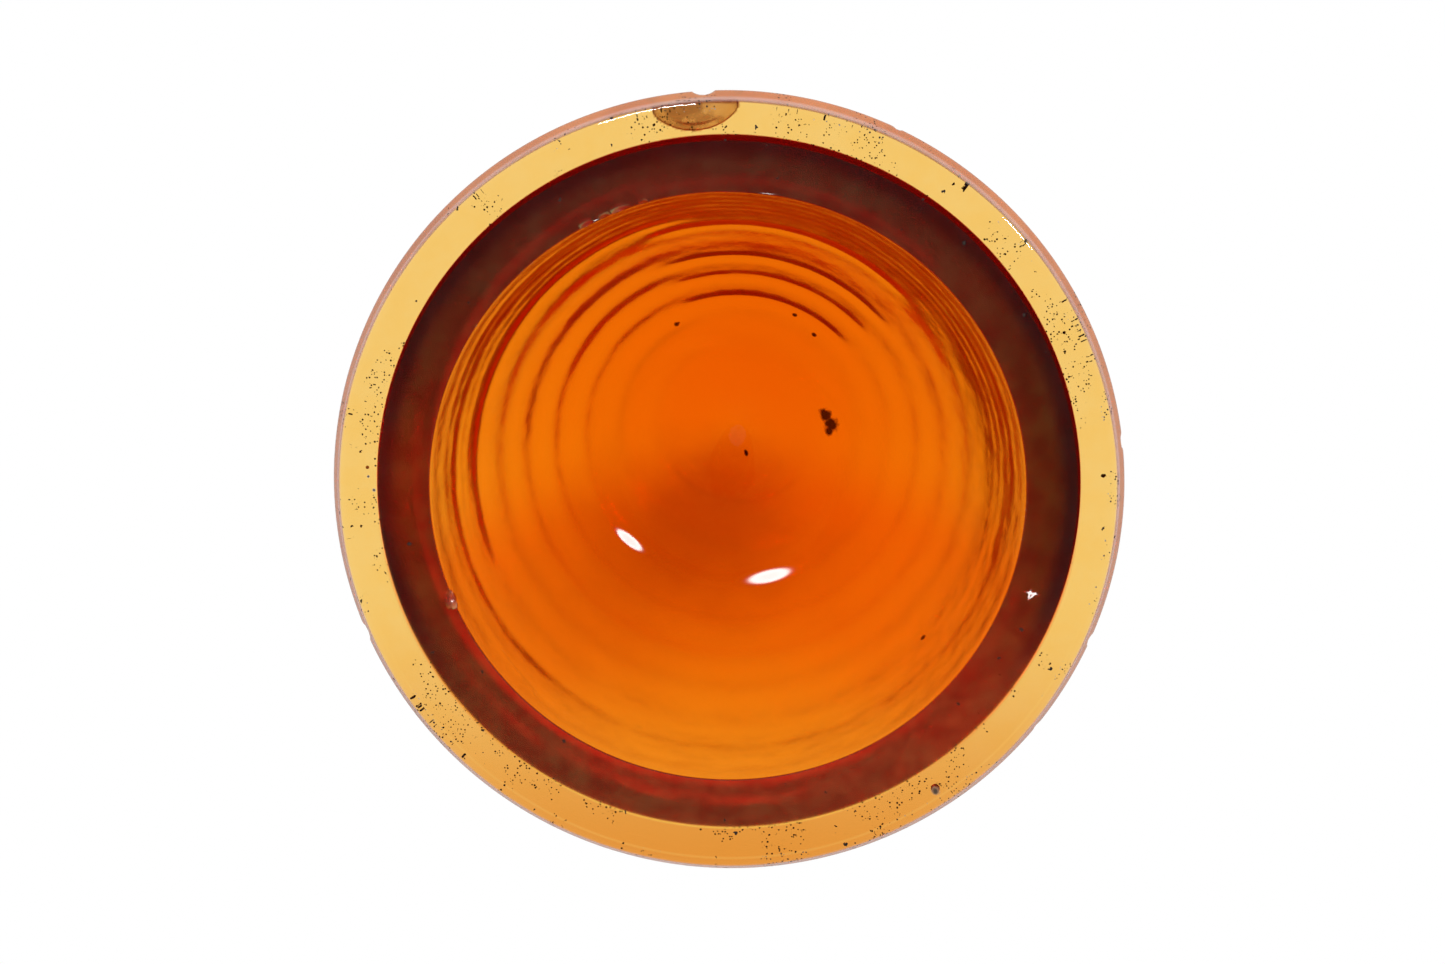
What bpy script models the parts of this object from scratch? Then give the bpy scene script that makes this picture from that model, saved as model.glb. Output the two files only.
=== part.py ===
"""Glass insulator: one thick pressed-glass dome with a flat brim and ring ridges.

The glass stands on its brim. The base plane is z = 0, +Z is the axis of the dome,
and the origin is the centre of the base plane. Units are metres.

The whole object is one turned body of glass. Its half section is one outline that
runs from the top of the crown down the ridged wall, round the brim, across the flat
base to the mouth, and up the smooth bowl to its top. The outline is turned about Z.
"""
import math

import bpy
import numpy as np

MM = 0.001

# Brim: the thin flat ring round the base. Its side leans in towards the base.
BRIM_RADIUS = 35.0 * MM
BRIM_THICKNESS = 2.8 * MM
BRIM_TOP_ROUND = 0.9 * MM
BASE_RADIUS = 34.5 * MM
BASE_ROUND = 0.8 * MM

# Dome: the outside of the thick wall, from where it rises out of the brim.
FOOT_RADIUS = 31.1 * MM
DOME_HEIGHT = 45.8 * MM
DOME_CENTRE = -6.0 * MM  # the level where the curve would be widest, below the base
DOME_FULLNESS = 1.8  # 2 is an ellipse, and less is nearer to a cone

# Bowl: the smooth hollow that opens through the base.
MOUTH_RADIUS = 26.3 * MM
BOWL_FULL_DEPTH = 38.8 * MM
BOWL_FULLNESS = 1.34
TIP_BLUNTING = 5.4 * MM  # how much lower the rounded tip is than the pointed curve
TIP_REACH = 12.5 * MM

# Ridges: soft rings round the dome, from the brim up to the edge of the plain crown.
CROWN_RADIUS = 9.6 * MM
RIDGE_COUNT = 9
RIDGE_HEIGHT = 0.24 * MM
FLAT_FROM = 3.0  # from this ridge to the next value they get flatter
FLAT_TO = 6.0
FLAT_SHARE = 0.15

# Fineness of the mesh.
SEGMENTS = 48
POINTS_PER_RIDGE = 4
BOWL_POINTS = 14
EDGE_POINTS = 3
CURVE_SAMPLES = 2000
SHARP_ANGLE = math.radians(50)
MERGE_DISTANCE = 0.01 * MM

# The look of the glass.
AMBER = (0.80, 0.30, 0.03, 1.0)
GLASS_ALPHA = 0.35
GLASS_ROUGHNESS = 0.05
GLASS_IOR = 1.52


def clear_scene():
    """Remove whatever objects the open file holds."""
    for old in list(bpy.data.objects):
        bpy.data.objects.remove(old, do_unlink=True)


def plain_dome():
    """The dome without its ridges, crown to foot: radius, height and way along, as arrays."""
    power = 2.0 / DOME_FULLNESS
    rise = DOME_HEIGHT - DOME_CENTRE
    foot = (BRIM_THICKNESS - DOME_CENTRE) / rise
    widest = FOOT_RADIUS / (1 - foot ** DOME_FULLNESS) ** (1 / DOME_FULLNESS)
    turns = np.linspace(0.0, math.acos(foot ** (1 / power)), CURVE_SAMPLES)
    radii = widest * np.sin(turns) ** power
    heights = DOME_CENTRE + rise * np.cos(turns) ** power
    steps = np.hypot(np.diff(radii), np.diff(heights))
    return radii, heights, np.concatenate(([0.0], np.cumsum(steps)))


def ridge_sink(phase):
    """How far the wall lies below the plain dome: 0 on a ridge, deepest between two."""
    if phase < 0:
        return 0.0
    way = (phase - FLAT_FROM) / (FLAT_TO - FLAT_FROM)
    share = 1 - (1 - FLAT_SHARE) * min(max(way, 0.0), 1.0)
    return RIDGE_HEIGHT * share * math.sin(math.pi * phase) ** 2


def wall_outline():
    """The ridged outside, from the top of the crown down to the brim."""
    radii, heights, along = plain_dome()
    slope_r = np.gradient(radii, along)
    slope_z = np.gradient(heights, along)
    crown_edge = np.interp(CROWN_RADIUS, radii, along)
    pitch = (along[-1] - crown_edge) / RIDGE_COUNT
    points = [(0.0, DOME_HEIGHT)]
    for step in range(-POINTS_PER_RIDGE // 2, RIDGE_COUNT * POINTS_PER_RIDGE + 1):
        phase = step / POINTS_PER_RIDGE
        place = crown_edge + phase * pitch
        sink = ridge_sink(phase)
        radius = np.interp(place, along, radii) + sink * np.interp(place, along, slope_z)
        height = np.interp(place, along, heights) - sink * np.interp(place, along, slope_r)
        points.append((float(radius), float(height)))
    return points


def brim_outline():
    """The top of the brim, its leaning side, and the flat base as far as the mouth."""
    top = (BRIM_RADIUS - BRIM_TOP_ROUND, BRIM_THICKNESS - BRIM_TOP_ROUND, BRIM_TOP_ROUND, 90)
    base = (BASE_RADIUS - BASE_ROUND, BASE_ROUND, BASE_ROUND, 0)
    points = []
    for centre_r, centre_z, size, first in (top, base):
        for step in range(EDGE_POINTS + 1):
            angle = math.radians(first - 90 * step / EDGE_POINTS)
            points.append((centre_r + size * math.cos(angle), centre_z + size * math.sin(angle)))
    return points


def bowl_blunting(radius):
    """How far the rounded bowl stays below the pointed curve: most at its tip, 0 at the mouth."""
    fade = math.exp(-(radius / TIP_REACH) ** 2) - math.exp(-(MOUTH_RADIUS / TIP_REACH) ** 2)
    return TIP_BLUNTING * fade


def bowl_outline():
    """The smooth bowl, from the mouth up to its rounded tip."""
    power = 2.0 / BOWL_FULLNESS
    points = []
    for step in range(BOWL_POINTS):
        angle = math.pi / 2 * step / BOWL_POINTS
        radius = MOUTH_RADIUS * math.cos(angle) ** power
        points.append((radius, BOWL_FULL_DEPTH * math.sin(angle) ** power - bowl_blunting(radius)))
    points.append((0.0, BOWL_FULL_DEPTH - bowl_blunting(0.0)))
    return points


def glass_material():
    """Clear amber glass."""
    material = bpy.data.materials.new("amber_glass")
    material.use_nodes = True
    shader = material.node_tree.nodes["Principled BSDF"]
    shader.inputs["Base Color"].default_value = AMBER
    shader.inputs["Metallic"].default_value = 0.0
    shader.inputs["Roughness"].default_value = GLASS_ROUGHNESS
    shader.inputs["IOR"].default_value = GLASS_IOR
    shader.inputs["Alpha"].default_value = GLASS_ALPHA
    return material


def turned_body(name, outline, material):
    """One closed body: the outline at +X, turned about Z."""
    mesh = bpy.data.meshes.new(name)
    vertices = [(radius, 0.0, height) for radius, height in outline]
    edges = [(index, index + 1) for index in range(len(outline) - 1)]
    mesh.from_pydata(vertices, edges, [])
    mesh.materials.append(material)
    body = bpy.data.objects.new(name, mesh)
    bpy.context.scene.collection.objects.link(body)
    turn = body.modifiers.new("Turn", "SCREW")
    turn.axis = "Z"
    turn.angle = 2 * math.pi
    turn.steps = SEGMENTS
    turn.render_steps = SEGMENTS
    turn.use_merge_vertices = True
    turn.merge_threshold = MERGE_DISTANCE
    turn.use_smooth_shade = True
    return body


def main():
    clear_scene()
    outline = wall_outline() + brim_outline() + bowl_outline()
    turned_body("glass_shell", outline, glass_material())


main()
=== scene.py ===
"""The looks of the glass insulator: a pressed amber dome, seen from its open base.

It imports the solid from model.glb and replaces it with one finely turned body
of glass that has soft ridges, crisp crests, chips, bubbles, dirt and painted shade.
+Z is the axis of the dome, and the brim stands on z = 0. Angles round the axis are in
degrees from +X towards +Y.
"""
import math

import bmesh
import bpy
import numpy as np
from mathutils import Matrix, Vector


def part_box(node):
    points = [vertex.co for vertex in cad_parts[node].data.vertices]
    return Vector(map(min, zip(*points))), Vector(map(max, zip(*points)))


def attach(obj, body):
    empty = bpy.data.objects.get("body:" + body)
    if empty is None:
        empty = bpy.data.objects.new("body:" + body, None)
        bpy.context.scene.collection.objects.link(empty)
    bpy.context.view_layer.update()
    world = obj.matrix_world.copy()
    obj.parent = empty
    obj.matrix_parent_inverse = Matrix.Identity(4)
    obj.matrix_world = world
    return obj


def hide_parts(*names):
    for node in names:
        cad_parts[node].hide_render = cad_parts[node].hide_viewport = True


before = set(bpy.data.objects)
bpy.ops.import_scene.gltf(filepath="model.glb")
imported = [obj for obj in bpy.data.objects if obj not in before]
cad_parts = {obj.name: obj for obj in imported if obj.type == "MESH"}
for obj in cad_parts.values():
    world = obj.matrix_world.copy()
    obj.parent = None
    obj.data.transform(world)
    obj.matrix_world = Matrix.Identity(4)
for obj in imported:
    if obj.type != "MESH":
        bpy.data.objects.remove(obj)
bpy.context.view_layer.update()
LOW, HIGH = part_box("glass_shell")

MM = 0.001

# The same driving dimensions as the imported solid.
BRIM_RADIUS = (HIGH[0] - LOW[0]) / 2
DOME_HEIGHT = HIGH[2] - LOW[2]
BRIM_THICKNESS = 2.8 * MM
BRIM_TOP_ROUND = 0.9 * MM
BASE_RADIUS = 34.5 * MM
BASE_ROUND = 0.8 * MM
FOOT_RADIUS = 31.1 * MM
DOME_CENTRE = -6.0 * MM
DOME_FULLNESS = 1.8
MOUTH_RADIUS = 26.3 * MM
BOWL_FULL_DEPTH = 38.8 * MM
BOWL_FULLNESS = 1.34
TIP_BLUNTING = 5.4 * MM
TIP_REACH = 12.5 * MM
CROWN_RADIUS = 9.6 * MM
RIDGE_COUNT = 9
RIDGE_HEIGHT = 0.24 * MM
FLAT_FROM = 3.0  # the ridges get flatter from this one to the next value
FLAT_TO = 6.0
FLAT_SHARE = 0.15

# Small shapes that only the fine mesh has.
FOOT_FILLET = 0.12 * MM
MOUTH_BEVEL = 0.10 * MM

# How much of their height the ridges have at each angle. The mould pressed them well on
# one side only, and flat in one sector, where they have crisp crests instead.
RIDGE_SHARES = ((0, 0.45), (90, 0.8), (180, 1.0), (235, 0.9), (255, 0.3), (325, 0.3), (360, 0.45))

# Crisp crests: which ridge from the crown down, lift in millimetres, half width in
# ridges, and from and to which angle.
SECTOR_BLEND = 14.0  # degrees over which a crest fades out past its ends
CRISP_RIDGES = (
    (-0.35, 0.20, 0.12, 55, 135),
    (0.1, 0.24, 0.12, 50, 140),
    (1.9, 0.22, 0.18, 255, 312),
    (2.8, 0.15, 0.16, 255, 312),
    (3.7, 0.17, 0.16, 255, 312),
    (5.4, 0.18, 0.18, 258, 308),
    (6.05, 0.11, 0.20, 166, 250),
    (7.0, 0.04, 0.13, 125, 185),
)

# Fineness of the turned mesh.
SEGMENTS = 392
POINTS_PER_RIDGE = 12
BOWL_POINTS = 64
BASE_POINTS = 20
BRIM_POINTS = 14
EDGE_POINTS = 7
SIDE_POINTS = 3
FOOT_POINTS = 5
CURVE_SAMPLES = 4000
ANGLE_SAMPLES = 7201
SHARP_ANGLE = math.radians(35)
BUBBLE_DIVISIONS = 3
FINE_DENSITY = 3.0  # how much closer the points lie at chips and nicks
FINE_MARGIN = 1.5  # degrees

# A flake leaves fine ripples: their height as a share of its size, and how close they are.
RIPPLE_HEIGHT = 0.05
RIPPLE_RATE = 16

# Chips: radius, angle and height of the flake's middle, then its half sizes inwards,
# round and up. The middle lies outside the glass.
BRIM_CHIPS = (
    ((35.4, 265.2, 3.1), (4.0, 4.7, 1.0)),
    ((35.3, 266.5, 2.0), (0.7, 1.1, 1.6)),
)
NICKS = (
    ((35.3, -7.0, 2.2), (0.6, 0.9, 0.9)),
    ((35.3, 23.0, 2.0), (0.6, 0.7, 0.8)),
    ((35.3, 38.0, 2.3), (0.5, 0.7, 0.8)),
    ((35.4, 157.5, 1.9), (0.8, 0.9, 1.2)),
    ((35.3, -65.0, 2.2), (0.5, 0.6, 0.7)),
)
MOUTH_CHIPS = (
    ((25.9, 157.6, -0.2), (1.1, 1.0, 0.8)),
    ((26.0, 242.5, -0.1), (0.7, 0.8, 0.5)),
    ((26.0, 246.0, -0.1), (0.6, 0.7, 0.5)),
    ((26.0, 249.5, -0.1), (0.7, 1.0, 0.5)),
    ((26.0, 254.0, -0.1), (0.6, 0.6, 0.5)),
)

# Bubbles in the glass: radius, angle and height of the middle, and size.
BUBBLES = (
    (32.9, 55.6, 1.4, 0.42),
    (31.9, 183.0, 1.3, 0.16),
)

# Grit burnt on to the outside: radius in millimetres, angle, and size in millimetres.
GRIT = (
    (11.2, 354.0, 0.85),
    (11.8, 359.5, 0.95),
    (11.6, 4.0, 0.55),
    (5.8, 80.0, 0.35),
    (15.4, 240.0, 0.40),
    (16.2, 295.6, 0.30),
    (15.3, 308.0, 0.32),
    (27.7, 42.9, 0.35),
)
BASE_GRIT = (
    (32.9, 55.6, 0.36),
    (31.2, 179.6, 0.14),
    (31.7, 181.8, 0.12),
)

# Shallow flat marks in the skin that catch the lamps: middle in millimetres, the way
# they run, half length and half width in millimetres, and the way they face.
MARKS = (
    ((3.2, 13.0, 25.0), (0.97, -0.24, 0.0), (3.1, 1.0), (-0.103, -0.486, -0.868)),
    ((-10.1, 9.4, 24.3), (0.74, 0.65, 0.15), (2.2, 0.75), (0.377, -0.341, -0.861)),
    ((26.9, 9.1, 0.0), (1.0, 0.2, 0.0), (0.8, 0.13), (-0.161, -0.495, -0.854)),
    ((26.7, 9.2, 0.0), (-0.3, 1.0, 0.0), (0.6, 0.15), (-0.161, -0.495, -0.854)),
    ((27.0, 9.3, 0.0), (0.7, -0.7, 0.0), (0.6, 0.12), (-0.161, -0.495, -0.854)),
    ((-11.5, -23.7, 0.05), (0.90, -0.44, 0.0), (0.6, 0.12), (-0.08, -0.45, -0.89)),
    ((-7.2, -25.3, 0.05), (0.96, -0.28, 0.0), (0.5, 0.10), (-0.09, -0.44, -0.89)),
    ((2.4, -26.2, 0.05), (1.0, 0.05, 0.0), (2.6, 0.07), (-0.11, -0.44, -0.89)),
)

# Glass.
GLASS_IOR = 1.52
ABSORPTION = (10.0, 165.0, 620.0)  # red, green and blue taken out of light, per metre

# Roughness of the clean skin, and what the mould, wear and dirt make of it.
POLISH = 0.025
DOME_FROST = 0.13
SIDE_WEAR = 0.25
BASE_WEAR = 0.24
CHIP_WEAR = 0.22
MARK_WEAR = 0.26
DIRT_ROUGHNESS = 0.8

# Waves in the pressed surface, in full on the dome, with a share of them elsewhere.
WAVE_HEIGHT = 0.12 * MM
WAVE_SHARE = 0.15
FINE_WAVES = 0.10
MARK_REACH = 2.2  # millimetres that a mark reaches through the skin
MARK_FADE = 1.5  # where a mark's edge ends, in squares of its half sizes

# Fine rings that the plunger left in the bowl near its mouth, fainter on the +Y side.
RING_PITCH = 0.55 * MM
RING_HEIGHT = 0.009 * MM
RING_ZONE = (MOUTH_RADIUS - 3.8 * MM, MOUTH_RADIUS - 1.5 * MM)
FAINT_RINGS = (-15 * MM, 15 * MM, 1.0, 0.35)  # along Y, and the share of their height

# Noise: the size of its lumps, and its detail.
SLOW_WAVES = (7 * MM, 2.0)
SKIN_WAVES = (1.3 * MM, 3.0)
RING_DRIFT = (14 * MM, 2.0)
GRIT_EDGE = (0.7 * MM, 3.0)
# The next noise ragges the edge of the painted shadow on the dome.
SHADE_PATCH_EDGE = (6 * MM, 2.0)
SHADE_BAND_EDGE = (9 * MM, 3.0)

# Blotches: the size, detail and roughness of their noise, and the values between which they rise.
SPECK_BLOTCHES = (6 * MM, 3.0, 0.5, (0.42, 0.62))
DUST_BLOTCHES = (2.5 * MM, 5.0, 0.65, (0.3, 0.75))
SIDE_BLOTCHES = (4 * MM, 3.0, 0.5, (0.3, 0.7))
CHIP_BLOTCHES = (1.8 * MM, 4.0, 0.5, (0.38, 0.6))
BLOOM_BLOTCHES = (3.5 * MM, 5.0, 0.65, (0.38, 0.64))
FROST_BLOTCHES = (3 * MM, 4.0, 0.5, (0.3, 0.7))

# Specks: the cell of the grid that they lie in, their size, and the share of cells.
FINE_SPECKS = (0.22 * MM, 0.10 * MM, 0.6)
COARSE_SPECKS = (0.9 * MM, 0.20 * MM, 0.14)
SPECK_CORNER = (33.6 * MM, 31.2 * MM, 0.25, 1.0)  # radii, and how thick the fine ones lie there
SPECKS_START = 0.2  # thinner than this, there are none
SPECK_SHAKE = 0.5  # how far noise moves a speck's edge, as a share of its cell
SPECK_SHAKE_RATE = 3  # lumps of that noise to a cell

# Grit, in shares of a grain's size: how far its edge strays, where it ends and where it is full.
GRIT_STRAY = 1.3
GRIT_END = 1.35
GRIT_FULL = 0.5
GRIT_COVER = 0.92

# What covers the glass: 0 is clear and 1 is solid.
DUST = (0.010, 0.030)
DUSTIER_SIDE = (0, 26 * MM, 1.0, 1.9)  # along Y, and how much more dust lies at the far end
SIDE_COVER = (0.58, 0.74)
CHIP_COVER = (0.08, 0.62)
FROST_SPREAD = (0.85, 1.2)

# Colours of the skin, which tint the light that passes through.
CLEAR = (1, 1, 1, 1)
BLOOM_COLOUR = (1.0, 0.96, 0.84, 1)
# Painted shade: an amber shade painted on the brim and base, growing towards +Y.
BRIM_SHADE_COLOUR = (0.85, 0.50, 0.24, 1)
# Painted shade: tints that darken the base under the wall, most towards -Y.
WALL_SHADE_BACK = (0.38, 0.86, 0.42, 1)  # under the wall, towards -Y
WALL_SHADE_MIDDLE = (0.66, 0.82, 0.12, 1)
WALL_SHADE_FRONT = (1.0, 0.9, 0.30, 1)  # towards +Y
# Painted shade: a dark band painted at the outer edge of the base under the wall, towards -Y.
SHADE_BAND_COLOUR = (0.12, 0.22, 0.22, 1)
SIDE_COLOUR = (0.50, 0.17, 0.04, 1)
CHIP_COLOUR = (0.56, 0.26, 0.11, 1)
DIRT_COLOUR = (0.02, 0.012, 0.008, 1)
# Painted shadow: the glass's amber shadow, painted outside the dome as a streak on its +Y side and a patch
# by the crown.
SHADE_STREAK_COLOUR = (0.93, 0.38, 0.22, 1)
SHADE_PATCH_COLOUR = (0.34, 0.08, 0.03, 1)

# Where the wall's base, the worn side and the painted shade lie.
WALL_EDGE = FOOT_RADIUS - 0.3 * MM
SIDE_RADII = (BASE_RADIUS - 0.5 * BASE_ROUND, BASE_RADIUS + 0.1 * MM)
# Painted shade: where the amber shade on the brim and base grows, along Y.
BRIM_SHADE_ALONG_Y = (8 * MM, 36 * MM)
WALL_SHADE_REACH = 30 * MM  # how far from the middle the painted shade's end colours are
# Painted shade: where the dark band under the wall lies.
SHADE_BAND_RADII = (28.6 * MM, 30.4 * MM)
SHADE_BAND_STRAY = 0.8 * MM
SHADE_BAND_ALONG_Y = (22 * MM, 8 * MM)
# Painted shadow: where the streak and the patch on the dome lie.
SHADE_STREAK_START = (1 * MM, 11 * MM)  # along Y
SHADE_STREAK_FADE = (30 * MM, 20 * MM, 0.4, 1.0)
SHADE_PATCH_MIDDLE = (-3.0 * MM, 13.0 * MM, 0.0)  # in the squeezed plane
SHADE_PATCH_SQUEEZE = (0.62, 1.0, 0.0)
SHADE_PATCH_RADII = (15.5 * MM, 1.0 * MM)
SHADE_PATCH_STRAY = 5 * MM

# The camera looks up into the bowl, a little off the axis.
CAMERA_DISTANCE = 0.352
CAMERA_TILT = math.radians(10.6)
CAMERA_HEADING = math.radians(-79.0)
SENSOR_WIDTH = 36.0
FIELD_WIDTH = 127.2 * MM  # what the frame spans at the base plane
AIM_SHIFT = (-0.4 * MM, 0.7 * MM)  # right and up in the image
CLIP_START = 0.01
CLIP_END = 50.0

# Light: the sky's strength low down and behind the camera, and the lamps' angles up and
# right of the camera's axis, power, width and height.
ROOM_LIGHT = 0.15
ROOM_TO_SKY = (-0.2, 0.4)  # between these heights of the view direction
BACK_LIGHT = 0.1
BACK_TO_ROOM = (-1.0, -0.86)
LAMP_DISTANCE = 0.6
LAMPS = (
    ("lamp_left", 37, -18, 2.2, 0.14, 0.07),
    ("lamp_right", 19, 42, 1.8, 0.06, 0.12),
)
LIGHT_BOUNCES = 32
GLOSSY_BOUNCES = 16

# Floor.
FLOOR_HALF_WIDTH = 4.0
FLOOR_DROP = 0.1 * MM
FLOOR_COLOUR = (0.86, 0.86, 0.85, 1)
FLOOR_ROUGHNESS = 0.9
FLOOR_FADE = (0.15, 0.9)


# ---------------------------------------------------------------- shape

def plain_dome():
    """The dome without its ridges, crown to foot: radius, height and way along."""
    power = 2.0 / DOME_FULLNESS
    rise = DOME_HEIGHT - DOME_CENTRE
    foot = (BRIM_THICKNESS - DOME_CENTRE) / rise
    widest = FOOT_RADIUS / (1 - foot ** DOME_FULLNESS) ** (1 / DOME_FULLNESS)
    turns = np.linspace(0.0, math.acos(foot ** (1 / power)), CURVE_SAMPLES)
    radii = widest * np.sin(turns) ** power
    heights = DOME_CENTRE + rise * np.cos(turns) ** power
    steps = np.hypot(np.diff(radii), np.diff(heights))
    return radii, heights, np.concatenate(([0.0], np.cumsum(steps)))


def bowl_blunting(radius):
    """How far the rounded bowl stays below the pointed curve: most at its tip, 0 at the mouth."""
    fade = math.exp(-(radius / TIP_REACH) ** 2) - math.exp(-(MOUTH_RADIUS / TIP_REACH) ** 2)
    return TIP_BLUNTING * fade


def arc(centre_r, centre_z, radius, first, last, count):
    """Points of a round corner, angles in degrees."""
    angles = np.radians(np.linspace(first, last, count))
    return [(centre_r + radius * math.cos(a), centre_z + radius * math.sin(a)) for a in angles]


def outline():
    """The half section as (radius, height, ridge phase, zone) rows.

    It runs from the top of the crown down the wall, round the brim, across the base and
    up the bowl. Zones are dome, brim, base and bowl.
    """
    radii, heights, along = plain_dome()
    crown_edge = np.interp(CROWN_RADIUS, radii, along)
    pitch = (along[-1] - crown_edge) / RIDGE_COUNT
    rows = []
    first = -int(crown_edge / pitch * POINTS_PER_RIDGE) + 1
    for step in range(first, RIDGE_COUNT * POINTS_PER_RIDGE):
        phase = step / POINTS_PER_RIDGE
        way = crown_edge + phase * pitch
        rows.append((np.interp(way, along, radii), np.interp(way, along, heights), phase, "dome"))
    foot = arc(FOOT_RADIUS + FOOT_FILLET, BRIM_THICKNESS + FOOT_FILLET, FOOT_FILLET, 180, 270, FOOT_POINTS)
    rows += [(r, z, RIDGE_COUNT, "foot") for r, z in foot]
    flat = BRIM_RADIUS - BRIM_TOP_ROUND
    top = np.linspace(FOOT_RADIUS + FOOT_FILLET, flat, BRIM_POINTS + 2)[1:-1]
    rows += [(r, BRIM_THICKNESS, 0, "brim") for r in top]
    edge = arc(flat, BRIM_THICKNESS - BRIM_TOP_ROUND, BRIM_TOP_ROUND, 90, 0, EDGE_POINTS)
    corner = arc(BASE_RADIUS - BASE_ROUND, BASE_ROUND, BASE_ROUND, 0, -90, EDGE_POINTS)
    side = np.linspace(edge[-1], corner[0], SIDE_POINTS + 2)[1:-1]
    rows += [(r, z, 0, "brim") for r, z in [*edge, *side, *corner]]
    base = np.linspace(BASE_RADIUS - BASE_ROUND, MOUTH_RADIUS + MOUTH_BEVEL, BASE_POINTS + 1)[1:]
    rows += [(r, 0.0, 0, "base") for r in base]
    power = 2.0 / BOWL_FULLNESS
    for step in range(BOWL_POINTS):
        angle = math.pi / 2 * step / BOWL_POINTS
        radius = MOUTH_RADIUS * math.cos(angle) ** power
        height = BOWL_FULL_DEPTH * math.sin(angle) ** power - bowl_blunting(radius)
        rows.append((radius, max(height, MOUTH_BEVEL), 0, "bowl"))
    return rows


def ring_angles():
    """Angles round the axis, in radians, closer together where the glass is chipped."""
    fine = np.linspace(0.0, 360.0, ANGLE_SAMPLES)
    density = np.ones_like(fine)
    for (radius, angle, _), (_, half_width, _) in BRIM_CHIPS + NICKS + MOUTH_CHIPS:
        away = np.abs((fine - angle + 180) % 360 - 180)
        density[away < math.degrees(half_width / radius) + FINE_MARGIN] = FINE_DENSITY
    way = np.concatenate(([0.0], np.cumsum(density[1:])))
    return np.radians(np.interp(np.arange(SEGMENTS) / SEGMENTS * way[-1], way, fine))


def ridge_sink(phase):
    """How far the wall lies below the plain dome: 0 on a ridge, deepest between two."""
    share = 1 - (1 - FLAT_SHARE) * np.clip((phase - FLAT_FROM) / (FLAT_TO - FLAT_FROM), 0, 1)
    return np.where(phase < 0, 0.0, RIDGE_HEIGHT * share * np.sin(np.pi * phase) ** 2)


def within_sector(angles, first, last):
    """1 between two angles in degrees, fading to 0 outside them."""
    middle, half = (first + last) / 2, (last - first) / 2
    away = np.abs((np.degrees(angles) - middle + 180) % 360 - 180)
    share = np.clip((half - away) / SECTOR_BLEND + 1, 0, 1)
    return share * share * (3 - 2 * share)


def wall_relief(phase, angles):
    """How far the wall lies below the plain dome at each ring and angle."""
    share = np.interp(np.degrees(angles), *zip(*RIDGE_SHARES))
    relief = ridge_sink(phase)[:, None] * share[None, :]
    for ridge, lift, half_width, first, last in CRISP_RIDGES:
        shape = np.exp(-((phase - ridge) / half_width) ** 2)
        relief -= lift * MM * shape[:, None] * within_sector(angles, first, last)[None, :]
    return relief


def turned_points():
    """The surface as a grid of points, ring by ring, with each ring's zone."""
    rows = outline()
    ring_r = np.array([row[0] for row in rows])
    ring_z = np.array([row[1] for row in rows])
    phase = np.array([row[2] for row in rows])
    zone = np.array([row[3] for row in rows])
    angles = ring_angles()
    slope_r, slope_z = np.gradient(ring_r), np.gradient(ring_z)
    length = np.hypot(slope_r, slope_z)
    sink = np.where((zone == "dome")[:, None], wall_relief(phase, angles), 0.0)
    r = ring_r[:, None] + (slope_z / length)[:, None] * sink
    z = ring_z[:, None] - (slope_r / length)[:, None] * sink
    return np.stack((r * np.cos(angles), r * np.sin(angles), z), axis=-1), zone


def place(radius, angle, height):
    """A point from its radius and height in millimetres and its angle in degrees."""
    angle = math.radians(angle)
    return np.array((radius * math.cos(angle), radius * math.sin(angle), height)) * MM


def flake_off(points, middle, half_sizes):
    """Push the points inside an ellipsoid out to its rippled surface, and say which they are."""
    centre = place(*middle)
    angle = math.radians(middle[1])
    axes = np.array(((math.cos(angle), math.sin(angle), 0), (-math.sin(angle), math.cos(angle), 0),
                     (0, 0, 1)))
    sizes = np.array(half_sizes) * MM
    local = (points - centre) @ axes.T / sizes
    away = np.linalg.norm(local, axis=-1)
    inside = away < 1
    ripple = 1 + RIPPLE_HEIGHT * np.cos(RIPPLE_RATE * away[inside]) * (1 - away[inside])
    local[inside] *= (ripple / away[inside])[:, None]
    points[inside] = centre + (local[inside] * sizes) @ axes
    return inside


def mesh_of(name, points, zone, chipped):
    """A closed mesh from rings of points, with a pole at each end."""
    rings, count = points.shape[:2]
    vertices = [tuple(p) for p in points.reshape(-1, 3)]
    vertices += [(0.0, 0.0, DOME_HEIGHT), (0.0, 0.0, BOWL_FULL_DEPTH - bowl_blunting(0.0))]
    crown_index, bowl_index = rings * count, rings * count + 1
    last = (rings - 1) * count
    faces = []
    for k in range(count):
        after = (k + 1) % count
        faces.append((crown_index, k, after))
        faces.append((last + k, bowl_index, last + after))
        for start in range(0, last, count):
            below = start + count
            faces.append((start + k, below + k, below + after, start + after))
    mesh = bpy.data.meshes.new(name)
    mesh.from_pydata(vertices, [], faces)
    zones = mesh.attributes.new("zone", "FLOAT_COLOR", "POINT")
    values = np.zeros((len(vertices), 4), dtype=np.float32)
    for channel, names in enumerate((("dome", "foot"), ("base",), ("brim", "foot"))):
        values[:-2, channel] = np.repeat(np.isin(zone, names), count)
    values[:-2, 3] = chipped.ravel()
    values[crown_index, 0] = 1.0
    zones.data.foreach_set("color", values.ravel())
    return mesh


def add_bubbles(mesh):
    """Round hollows inside the glass."""
    shape = bmesh.new()
    shape.from_mesh(mesh)
    for radius, angle, height, size in BUBBLES:
        middle = Matrix.Translation(place(radius, angle, height))
        ball = bmesh.ops.create_icosphere(shape, subdivisions=BUBBLE_DIVISIONS, radius=size * MM,
                                          matrix=middle)
        skin = {face for vertex in ball["verts"] for face in vertex.link_faces}
        bmesh.ops.reverse_faces(shape, faces=list(skin))
    shape.to_mesh(mesh)
    shape.free()


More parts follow.
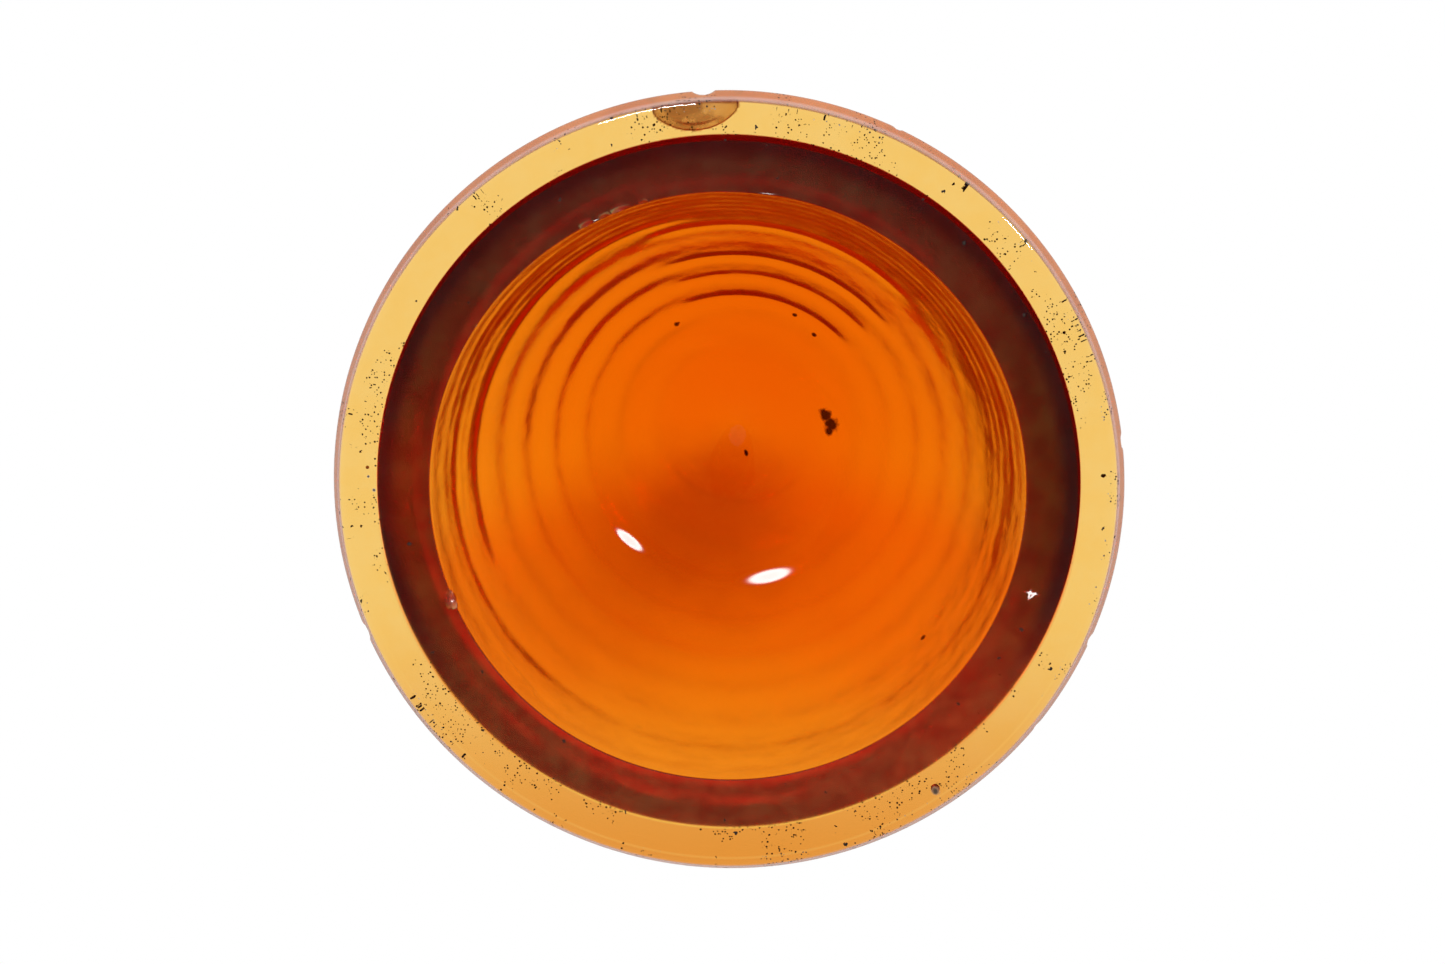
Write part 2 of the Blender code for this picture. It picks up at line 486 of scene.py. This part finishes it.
def glass_body(name):
    """The whole glass: turned, ridged, chipped and with its bubbles."""
    points, zone = turned_points()
    chipped = np.zeros(points.shape[:2], dtype=bool)
    for middle, half_sizes in BRIM_CHIPS + NICKS + MOUTH_CHIPS:
        chipped |= flake_off(points, middle, half_sizes)
    mesh = mesh_of(name, points, zone, chipped)
    add_bubbles(mesh)
    mesh.shade_smooth()
    mesh.set_sharp_from_angle(angle=SHARP_ANGLE)
    body = bpy.data.objects.new(name, mesh)
    bpy.context.scene.collection.objects.link(body)
    return body


# ---------------------------------------------------------------- glass

class Graph:
    """Short calls for the nodes of one material or world."""

    def __init__(self, owner):
        owner.use_nodes = True
        self.nodes = owner.node_tree.nodes
        self.links = owner.node_tree.links

    def node(self, kind, **settings):
        made = self.nodes.new(kind)
        for key, value in settings.items():
            setattr(made, key, value)
        return made

    def feed(self, socket, value):
        """Link the value if it is a socket, or else set it."""
        if isinstance(value, bpy.types.NodeSocket):
            self.links.new(value, socket)
        else:
            socket.default_value = value

    def math(self, operation, *values):
        made = self.node("ShaderNodeMath", operation=operation)
        for index, value in enumerate(values):
            self.feed(made.inputs[index], value)
        return made.outputs[0]

    def ramp(self, value, low, high, to_low=0.0, to_high=1.0):
        """A smooth step of the value between two limits."""
        made = self.node("ShaderNodeMapRange", interpolation_type="SMOOTHSTEP")
        for name, number in (("From Min", low), ("From Max", high), ("To Min", to_low), ("To Max", to_high)):
            made.inputs[name].default_value = number
        self.feed(made.inputs["Value"], value)
        return made.outputs["Result"]

    def noise(self, where, size, detail=2.0, roughness=0.5):
        made = self.node("ShaderNodeTexNoise")
        self.feed(made.inputs["Vector"], where)
        made.inputs["Scale"].default_value = 1 / size
        made.inputs["Detail"].default_value = detail
        made.inputs["Roughness"].default_value = roughness
        return made.outputs["Fac"]

    def blotches(self, where, size, detail, roughness, edge, reach=(0.0, 1.0)):
        """Smooth patches: noise of one size, stepped between the two edge values."""
        return self.ramp(self.noise(where, size, detail, roughness), *edge, *reach)

    def times(self, first, *others):
        for other in others:
            first = self.math("MULTIPLY", first, other)
        return first

    def mix(self, weight, first, second):
        made = self.node("ShaderNodeMix", data_type="RGBA")
        self.feed(made.inputs[0], weight)
        self.feed(made.inputs[6], first)
        self.feed(made.inputs[7], second)
        return made.outputs[2]

    def most(self, values):
        total = values[0]
        for value in values[1:]:
            total = self.math("MAXIMUM", total, value)
        return total


def specks(graph, where, cell, size, share):
    """Small spots: one in a share of the cells of a grid, of mixed sizes and ragged shape."""
    shaken = graph.node("ShaderNodeTexNoise")
    graph.feed(shaken.inputs["Vector"], where)
    shaken.inputs["Scale"].default_value = SPECK_SHAKE_RATE / cell
    moved = graph.node("ShaderNodeVectorMath", operation="MULTIPLY_ADD")
    graph.feed(moved.inputs[0], shaken.outputs["Color"])
    moved.inputs[1].default_value = (SPECK_SHAKE * cell,) * 3
    graph.feed(moved.inputs[2], where)
    cells = graph.node("ShaderNodeTexVoronoi")
    graph.feed(cells.inputs["Vector"], moved.outputs[0])
    cells.inputs["Scale"].default_value = 1 / cell
    luck = graph.node("ShaderNodeSeparateColor")
    graph.feed(luck.inputs[0], cells.outputs["Color"])
    reach = graph.math("MULTIPLY", luck.outputs["Green"], size / cell)
    near = graph.math("LESS_THAN", cells.outputs["Distance"], reach)
    return graph.times(near, graph.math("LESS_THAN", luck.outputs["Red"], share))


def grit_places():
    """Where each grain of grit lies on the glass, with its size in millimetres."""
    radii, heights, _ = plain_dome()
    for radius, angle, size in GRIT:
        height = float(np.interp(radius * MM, radii, heights)) / MM
        yield place(radius, angle, height), size
    for radius, angle, size in BASE_GRIT:
        yield place(radius, angle, 0.0), size


def grit_mask(graph, where):
    """1 on the grit, with ragged edges."""
    ragged = graph.math("SUBTRACT", graph.noise(where, *GRIT_EDGE), 0.5)
    spots = []
    for middle, size in grit_places():
        away = graph.node("ShaderNodeVectorMath", operation="DISTANCE")
        graph.feed(away.inputs[0], where)
        away.inputs[1].default_value = middle
        edge = graph.math("ADD", away.outputs["Value"], graph.times(ragged, GRIT_STRAY * size * MM))
        spots.append(graph.ramp(edge, GRIT_END * size * MM, GRIT_FULL * size * MM, 0.0, GRIT_COVER))
    return graph.most(spots)


def marked_normal(graph, where, normal):
    """The normal, turned to face one way on each of the flat marks, and a mask of the marks."""
    weights = []
    front = graph.math("SUBTRACT", 1.0, graph.node("ShaderNodeNewGeometry").outputs["Backfacing"])
    for middle, along, (half_length, half_width), facing in MARKS:
        facing = Vector(facing).normalized()
        along = Vector(along)
        along = (along - facing * along.dot(facing)).normalized()
        across = facing.cross(along)
        offset = graph.node("ShaderNodeVectorMath", operation="SUBTRACT")
        graph.feed(offset.inputs[0], where)
        offset.inputs[1].default_value = [c * MM for c in middle]
        squares = []
        for axis, half in ((along, half_length), (across, half_width), (facing, MARK_REACH)):
            share = graph.node("ShaderNodeVectorMath", operation="DOT_PRODUCT")
            graph.feed(share.inputs[0], offset.outputs[0])
            share.inputs[1].default_value = axis / (half * MM)
            squares.append(graph.math("POWER", share.outputs["Value"], 2.0))
        total = graph.math("ADD", graph.math("ADD", squares[0], squares[1]), squares[2])
        weight = graph.math("MULTIPLY", graph.ramp(total, MARK_FADE, 0.0), front)
        weights.append(weight)
        turned = graph.node("ShaderNodeMix", data_type="VECTOR")
        graph.feed(turned.inputs[0], weight)
        graph.feed(turned.inputs[4], normal)
        turned.inputs[5].default_value = facing
        normal = turned.outputs[1]
    even = graph.node("ShaderNodeVectorMath", operation="NORMALIZE")
    graph.feed(even.inputs[0], normal)
    return even.outputs[0], graph.most(weights)


class Places:
    """Where a point of the glass lies: its coordinates and which part of the skin it is on."""

    def __init__(self, graph):
        self.where = graph.node("ShaderNodeTexCoord").outputs["Object"]
        split = graph.node("ShaderNodeSeparateXYZ")
        graph.feed(split.inputs[0], self.where)
        self.y = split.outputs["Y"]
        squares = [graph.math("POWER", split.outputs[axis], 2.0) for axis in "XY"]
        self.radius = graph.math("SQRT", graph.math("ADD", *squares))
        zones = graph.node("ShaderNodeAttribute", attribute_name="zone")
        zone = graph.node("ShaderNodeSeparateColor")
        graph.feed(zone.inputs[0], zones.outputs["Color"])
        self.dome, self.base, self.brim = (zone.outputs[name] for name in ("Red", "Green", "Blue"))
        self.chip = zones.outputs["Alpha"]
        self.bowl = graph.math("SUBTRACT", 1.0, graph.most((self.dome, self.base, self.brim)))
        self.wall = graph.times(graph.math("LESS_THAN", self.radius, WALL_EDGE), self.base)
        self.side = graph.ramp(self.radius, *SIDE_RADII)


def black_dirt(graph, at):
    """Specks on the brim, thickest where it meets the wall, a few on the base, and grit."""
    patches = graph.blotches(at.where, *SPECK_BLOTCHES)
    corner = graph.ramp(at.radius, *SPECK_CORNER)
    thick = graph.math("GREATER_THAN", graph.times(patches, corner), SPECKS_START)
    many = graph.times(specks(graph, at.where, *FINE_SPECKS), at.brim, thick)
    few = graph.times(specks(graph, at.where, *COARSE_SPECKS), graph.most((at.brim, at.base)))
    return graph.most((many, few, grit_mask(graph, at.where)))


def coverage(graph, at, dirt):
    """How much of the glass is covered: dirt, dust under the wall, the worn side, the chips."""
    dust = graph.blotches(at.where, *DUST_BLOTCHES, DUST)
    dust = graph.times(dust, graph.ramp(at.y, *DUSTIER_SIDE), at.wall)
    side = graph.times(graph.blotches(at.where, *SIDE_BLOTCHES, SIDE_COVER), at.side)
    chips = graph.times(graph.blotches(at.where, *CHIP_BLOTCHES, CHIP_COVER), at.chip)
    return graph.most((dirt, dust, side, chips))


def swing(graph, at, lumps, reach):
    """Noise about zero that spans a length."""
    noise = graph.math("SUBTRACT", graph.noise(at.where, *lumps), 0.5)
    return graph.times(noise, reach)


def painted_dome_shade(graph, at):
    """Painted shadow: a deeper amber painted outside the dome on its +Y side, most in one patch by the
    crown.
    """
    shade_streak_mask = graph.times(graph.ramp(at.y, *SHADE_STREAK_START), graph.ramp(at.y, *SHADE_STREAK_FADE))
    squeezed = graph.node("ShaderNodeVectorMath", operation="MULTIPLY")
    graph.feed(squeezed.inputs[0], at.where)
    squeezed.inputs[1].default_value = SHADE_PATCH_SQUEEZE
    away = graph.node("ShaderNodeVectorMath", operation="DISTANCE")
    graph.feed(away.inputs[0], squeezed.outputs[0])
    away.inputs[1].default_value = SHADE_PATCH_MIDDLE
    ragged = graph.math("ADD", away.outputs["Value"], swing(graph, at, SHADE_PATCH_EDGE, SHADE_PATCH_STRAY))
    streak_shaded = graph.mix(shade_streak_mask, CLEAR, SHADE_STREAK_COLOUR)
    return graph.mix(graph.ramp(ragged, *SHADE_PATCH_RADII), streak_shaded, SHADE_PATCH_COLOUR)


def skin_colour(graph, at, dirt):
    """The tint of the skin: bloom and a painted amber shade on the brim, painted shade and a painted dark
    band under the wall, and a painted shadow on the dome.
    """
    bloom = graph.blotches(at.where, *BLOOM_BLOTCHES)
    # Painted shade: an amber shade on the brim and base towards +Y.
    brim_shade = graph.times(graph.ramp(at.y, *BRIM_SHADE_ALONG_Y), graph.most((at.base, at.brim)))
    skin = graph.mix(brim_shade, graph.mix(bloom, CLEAR, BLOOM_COLOUR), BRIM_SHADE_COLOUR)
    # Painted shade: the base under the wall darkened, most towards -Y.
    wall_shade = graph.mix(graph.ramp(at.y, -WALL_SHADE_REACH, 0), WALL_SHADE_BACK, WALL_SHADE_MIDDLE)
    wall_shade = graph.mix(graph.ramp(at.y, 0, WALL_SHADE_REACH), wall_shade, WALL_SHADE_FRONT)
    skin = graph.mix(at.wall, skin, wall_shade)

    # Painted shade: a dark band at the outer edge of the base under the wall, towards -Y.
    uneven = graph.math("ADD", at.radius, swing(graph, at, SHADE_BAND_EDGE, SHADE_BAND_STRAY))
    shade_band = graph.times(graph.ramp(uneven, *SHADE_BAND_RADII), graph.ramp(at.y, *SHADE_BAND_ALONG_Y), at.wall)
    skin = graph.mix(shade_band, skin, SHADE_BAND_COLOUR)
    # Painted shadow on the outside of the dome.
    skin = graph.mix(at.dome, skin, painted_dome_shade(graph, at))
    skin = graph.mix(at.side, skin, SIDE_COLOUR)
    skin = graph.mix(at.chip, skin, CHIP_COLOUR)
    return graph.mix(dirt, skin, DIRT_COLOUR)


def wavy_normal(graph, at):
    """Slow waves in the pressed surface, fine ones in its skin, and the plunger's rings."""
    waves = graph.math("ADD", graph.noise(at.where, *SLOW_WAVES),
                       graph.times(graph.noise(at.where, *SKIN_WAVES), FINE_WAVES))
    unsteady = graph.times(graph.noise(at.where, *RING_DRIFT), RING_PITCH)
    turns = graph.times(graph.math("ADD", at.radius, unsteady), 2 * math.pi / RING_PITCH)
    near_mouth = graph.times(graph.ramp(at.radius, *RING_ZONE), at.bowl, graph.ramp(at.y, *FAINT_RINGS))
    rings = graph.times(graph.math("SINE", turns), near_mouth, RING_HEIGHT / (WAVE_SHARE * WAVE_HEIGHT))
    bump = graph.node("ShaderNodeBump")
    bump.inputs["Strength"].default_value = 1.0
    graph.feed(bump.inputs["Distance"], graph.times(graph.math("ADD", at.dome, WAVE_SHARE), WAVE_HEIGHT))
    graph.feed(bump.inputs["Height"], graph.math("ADD", waves, rings))
    return bump.outputs["Normal"]


def roughness(graph, at, dirt, marks):
    """The mould frosted the dome a little, wear dulled other places, and the rest is polished."""
    frost = graph.math("ADD", graph.times(at.dome, DOME_FROST), POLISH)
    frost = graph.times(frost, graph.blotches(at.where, *FROST_BLOTCHES, FROST_SPREAD))
    worn = ((at.side, SIDE_WEAR), (at.wall, BASE_WEAR), (at.chip, CHIP_WEAR),
            (dirt, DIRT_ROUGHNESS), (marks, MARK_WEAR))
    return graph.most([frost] + [graph.times(mask, wear) for mask, wear in worn])


def absorb(graph):
    """The amber of the glass, which deepens with the light's way through it."""
    depth = graph.node("ShaderNodeVolumeAbsorption")
    density = max(ABSORPTION)
    depth.inputs["Density"].default_value = density
    depth.inputs["Color"].default_value = [1 - a / density for a in ABSORPTION] + [1]
    graph.links.new(depth.outputs["Volume"], graph.nodes["Material Output"].inputs["Volume"])


def amber_glass():
    """Clear amber glass: the colour is in its depth, and dirt, wear and painted shade lie on its skin."""
    material = bpy.data.materials.new("amber_glass")
    graph = Graph(material)
    shader = graph.nodes["Principled BSDF"]
    shader.inputs["IOR"].default_value = GLASS_IOR
    at = Places(graph)
    dirt = black_dirt(graph, at)
    normal, marks = marked_normal(graph, at.where, wavy_normal(graph, at))
    covered = coverage(graph, at, dirt)
    graph.feed(shader.inputs["Transmission Weight"], graph.math("SUBTRACT", 1.0, covered))
    graph.feed(shader.inputs["Base Color"], skin_colour(graph, at, dirt))
    graph.feed(shader.inputs["Roughness"], roughness(graph, at, dirt, marks))
    graph.feed(shader.inputs["Normal"], normal)
    absorb(graph)
    return material


# ---------------------------------------------------------------- stage

def camera_axes():
    """Back, right and up of the camera, as directions in the frame."""
    flat = math.sin(CAMERA_TILT)
    back = Vector((flat * math.cos(CAMERA_HEADING), flat * math.sin(CAMERA_HEADING),
                   -math.cos(CAMERA_TILT)))
    up = Vector((0, -1, 0))
    up = (up - back * up.dot(back)).normalized()
    return back, up.cross(back), up


def add_camera():
    back, right, up = camera_axes()
    data = bpy.data.cameras.new("camera")
    data.sensor_width = SENSOR_WIDTH
    data.lens = SENSOR_WIDTH * CAMERA_DISTANCE / FIELD_WIDTH
    data.clip_start = CLIP_START
    data.clip_end = CLIP_END
    camera = bpy.data.objects.new("camera", data)
    aim = right * AIM_SHIFT[0] + up * AIM_SHIFT[1]
    turn = Matrix((right, up, back)).transposed().to_4x4()
    camera.matrix_world = Matrix.Translation(aim + back * CAMERA_DISTANCE) @ turn
    bpy.context.scene.collection.objects.link(camera)
    bpy.context.scene.camera = camera


def add_world():
    """A white sky over the dome that fades to a dim room on the camera's side.

    The backdrop itself is plain white wherever the camera sees it straight.
    """
    world = bpy.data.worlds.new("studio")
    bpy.context.scene.world = world
    graph = Graph(world)
    split = graph.node("ShaderNodeSeparateXYZ")
    graph.feed(split.inputs[0], graph.node("ShaderNodeTexCoord").outputs["Generated"])
    sky = graph.ramp(split.outputs["Z"], *ROOM_TO_SKY, ROOM_LIGHT, 1.0)
    behind_camera = graph.ramp(split.outputs["Z"], *BACK_TO_ROOM, BACK_LIGHT, 1.0)
    light = graph.times(sky, behind_camera)
    backdrop = graph.node("ShaderNodeLightPath").outputs["Is Camera Ray"]
    graph.feed(graph.nodes["Background"].inputs["Strength"], graph.math("MAXIMUM", light, backdrop))
    graph.nodes["Background"].inputs["Color"].default_value = (1, 1, 1, 1)


def add_lamp(name, up_angle, right_angle, power, width, height):
    """A soft lamp on the camera's side, placed by its angles off the camera's axis."""
    back, right, up = camera_axes()
    up_angle, right_angle = math.radians(up_angle), math.radians(right_angle)
    towards = (back * math.cos(up_angle) * math.cos(right_angle) + up * math.sin(up_angle)
               + right * math.cos(up_angle) * math.sin(right_angle))
    data = bpy.data.lights.new(name, "AREA")
    data.shape = "RECTANGLE"
    data.size, data.size_y = width, height
    data.energy = power
    lamp = bpy.data.objects.new(name, data)
    lamp.location = towards * LAMP_DISTANCE
    lamp.rotation_euler = towards.to_track_quat("Z", "Y").to_euler()
    bpy.context.scene.collection.objects.link(lamp)


def add_floor():
    """A pale floor under the brim. From below it isn't there, so the camera can look up."""
    mesh = bpy.data.meshes.new("floor")
    signs = ((-1, -1), (1, -1), (1, 1), (-1, 1))
    corners = [(x * FLOOR_HALF_WIDTH, y * FLOOR_HALF_WIDTH, -FLOOR_DROP) for x, y in signs]
    mesh.from_pydata(corners, [], [(0, 1, 2, 3)])
    floor = bpy.data.objects.new("floor", mesh)
    bpy.context.scene.collection.objects.link(floor)
    material = bpy.data.materials.new("pale_floor")
    graph = Graph(material)
    matt = graph.nodes["Principled BSDF"]
    matt.inputs["Base Color"].default_value = FLOOR_COLOUR
    matt.inputs["Roughness"].default_value = FLOOR_ROUGHNESS
    clear = graph.node("ShaderNodeBsdfTransparent")
    under = graph.node("ShaderNodeNewGeometry").outputs["Backfacing"]
    away = graph.node("ShaderNodeVectorMath", operation="LENGTH")
    graph.feed(away.inputs[0], graph.node("ShaderNodeTexCoord").outputs["Object"])
    far = graph.ramp(away.outputs["Value"], *FLOOR_FADE)
    mix = graph.node("ShaderNodeMixShader")
    graph.feed(mix.inputs[0], graph.math("MAXIMUM", under, far))
    graph.links.new(matt.outputs["BSDF"], mix.inputs[1])
    graph.links.new(clear.outputs["BSDF"], mix.inputs[2])
    graph.links.new(mix.outputs["Shader"], graph.nodes["Material Output"].inputs["Surface"])
    mesh.materials.append(material)
    floor.visible_glossy = False
    floor.visible_shadow = False


def set_light_and_colour():
    """Enough bounces for light that runs round inside the thick wall, and true colours."""
    scene = bpy.context.scene
    scene.cycles.max_bounces = LIGHT_BOUNCES
    scene.cycles.transmission_bounces = LIGHT_BOUNCES
    scene.cycles.glossy_bounces = GLOSSY_BOUNCES
    scene.view_settings.view_transform = "Standard"


glass = glass_body("glass_body")
glass.data.materials.append(amber_glass())
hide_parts("glass_shell")
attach(glass, "root")

add_camera()
add_world()
for lamp in LAMPS:
    add_lamp(*lamp)
add_floor()
set_light_and_colour()
